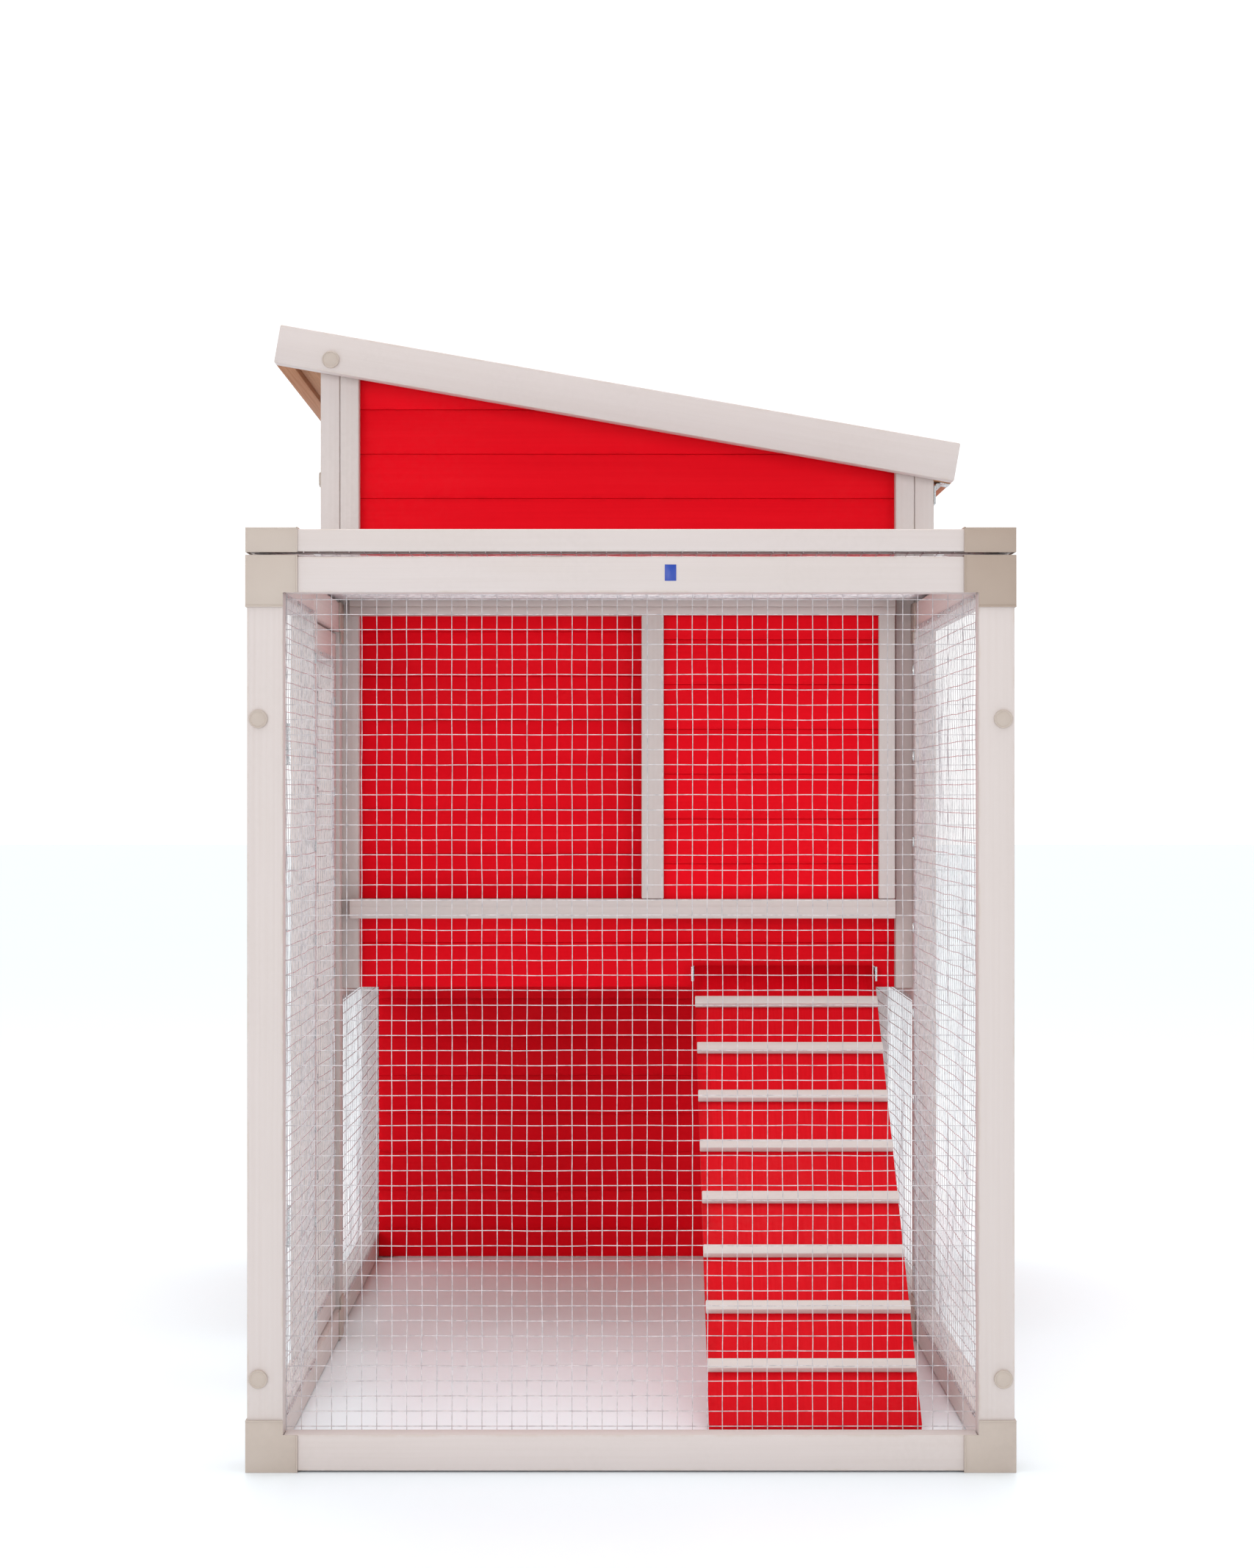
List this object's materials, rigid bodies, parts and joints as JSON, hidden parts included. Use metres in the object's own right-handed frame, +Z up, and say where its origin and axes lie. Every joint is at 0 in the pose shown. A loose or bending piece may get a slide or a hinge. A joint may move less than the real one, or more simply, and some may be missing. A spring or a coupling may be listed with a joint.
{
  "type": "rabbit hutch",
  "caption": "Raised boarded rabbit house with a hinged pent roof, joined to a mesh run with a hinged lid, doors, a ramp, a sliding door and a pull-out tray.",
  "frame": {"origin": "on the floor under the middle of the bounding box", "axes": "+Y along the hutch from the run's end panel to the house's far wall, +X from the front (high eave) to the back, +Z up"},
  "size_m": [0.7108, 1.2214, 1.0494],
  "materials": {
    "painted_white": "satin",
    "painted_red": "satin",
    "bare_wood": "matte",
    "wire_mesh": "satin",
    "corner_plastic": "satin",
    "zinc_steel": "satin",
    "tray_plastic": "satin",
    "roof_felt": "matte",
    "label": "satin"
  },
  "bodies": {
    "hutch_frame": {"run_end_post_front": "painted_white", "run_end_post_back": "painted_white", "run_end_rail_top": "painted_white", "run_end_rail_bottom": "painted_white", "run_front_frame": "painted_white", "run_back_frame": "painted_white", "run_top_ledge": "painted_white", "house_leg_front_near": "painted_white", "house_leg_front_far": "painted_white", "house_leg_back_near": "painted_white", "house_leg_back_far": "painted_white", "house_front_rail_low": "painted_white", "house_back_rail_low": "painted_white", "under_front_rail": "painted_white", "under_back_rail": "painted_white", "house_front_sill": "painted_white", "house_front_rail_top": "painted_white", "end_wall_stile_front": "painted_white", "end_wall_stile_back": "painted_white", "far_wall_stile_front": "painted_white", "far_wall_stile_back": "painted_white", "door_track_bottom": "painted_white", "door_track_top": "painted_white", "end_wall_boards": "painted_red", "far_wall_boards": "painted_red", "house_back_boards": "painted_red", "house_floor": "bare_wood", "run_end_mesh": "wire_mesh", "run_front_mesh": "wire_mesh", "run_back_mesh": "wire_mesh", "under_front_mesh": "wire_mesh", "under_back_mesh": "wire_mesh", "run_end_bracket_top_front": "corner_plastic", "run_end_bracket_top_back": "corner_plastic", "run_end_bracket_bottom_front": "corner_plastic", "run_end_bracket_bottom_back": "corner_plastic", "run_door_hinge_low": "zinc_steel", "run_door_hinge_high": "zinc_steel", "house_door_hinge_low": "zinc_steel", "house_door_hinge_high": "zinc_steel", "lid_hinge_near": "zinc_steel", "lid_hinge_far": "zinc_steel", "roof_hinge_near": "zinc_steel", "roof_hinge_far": "zinc_steel", "ramp_bracket": "zinc_steel"},
    "roof": {"roof_frame": "painted_white", "roof_deck": "roof_felt"},
    "lid": {"lid_frame": "painted_white", "lid_mesh": "wire_mesh"},
    "run_door": {"run_door_frame": "painted_white", "run_door_mesh": "wire_mesh"},
    "run_door_latch": {"run_door_button": "zinc_steel"},
    "house_door": {"house_door_frame": "painted_white", "house_door_boards": "painted_red"},
    "house_door_latch": {"house_door_button": "zinc_steel"},
    "sliding_door": {"sliding_door_panel": "painted_red", "sliding_door_stile_front": "painted_white", "sliding_door_stile_back": "painted_white"},
    "tray": {"tray": "tray_plastic"},
    "ramp": {"ramp": "painted_red"}
  },
  "joints": [
    {"name": "roof_hinge", "type": "hinge", "parent": "hutch_frame", "child": "roof", "pos_m": [0.33506, 0.30565, 0.88532], "axis": [0, 1, 0], "range_deg": [0, 80]},
    {"name": "lid_hinge", "type": "hinge", "parent": "hutch_frame", "child": "lid", "pos_m": [0.33406, -0.30435, 0.7631], "axis": [0, 1, 0], "range_deg": [0, 105]},
    {"name": "run_door_hinge", "type": "hinge", "parent": "hutch_frame", "child": "run_door", "pos_m": [-0.31294, -0.23835, 0.38115], "axis": [0, 0, 1], "range_deg": [0, 110]},
    {"name": "run_door_latch_turn", "type": "hinge", "parent": "hutch_frame", "child": "run_door_latch", "pos_m": [-0.30844, 0.01535, 0.38115], "axis": [-1, 0, 0], "range_deg": [0, 90]},
    {"name": "house_door_hinge", "type": "hinge", "parent": "hutch_frame", "child": "house_door", "pos_m": [-0.31394, 0.54965, 0.7055], "axis": [0, 0, -1], "range_deg": [0, 110]},
    {"name": "house_door_latch_turn", "type": "hinge", "parent": "hutch_frame", "child": "house_door_latch", "pos_m": [-0.30944, 0.04565, 0.7055], "axis": [1, 0, 0], "range_deg": [0, 90]},
    {"name": "sliding_door_slide", "type": "slide", "parent": "hutch_frame", "child": "sliding_door", "axis": [-1, 0, 0], "range_m": [0, 0.262]},
    {"name": "tray_slide", "type": "slide", "parent": "hutch_frame", "child": "tray", "axis": [-1, 0, 0], "range_m": [0, 0.45]},
    {"name": "ramp_hinge", "type": "hinge", "parent": "hutch_frame", "child": "ramp", "pos_m": [0.17456, 0.03815, 0.3756], "axis": [-1, 0, 0], "range_deg": [0, 70]}
  ]
}
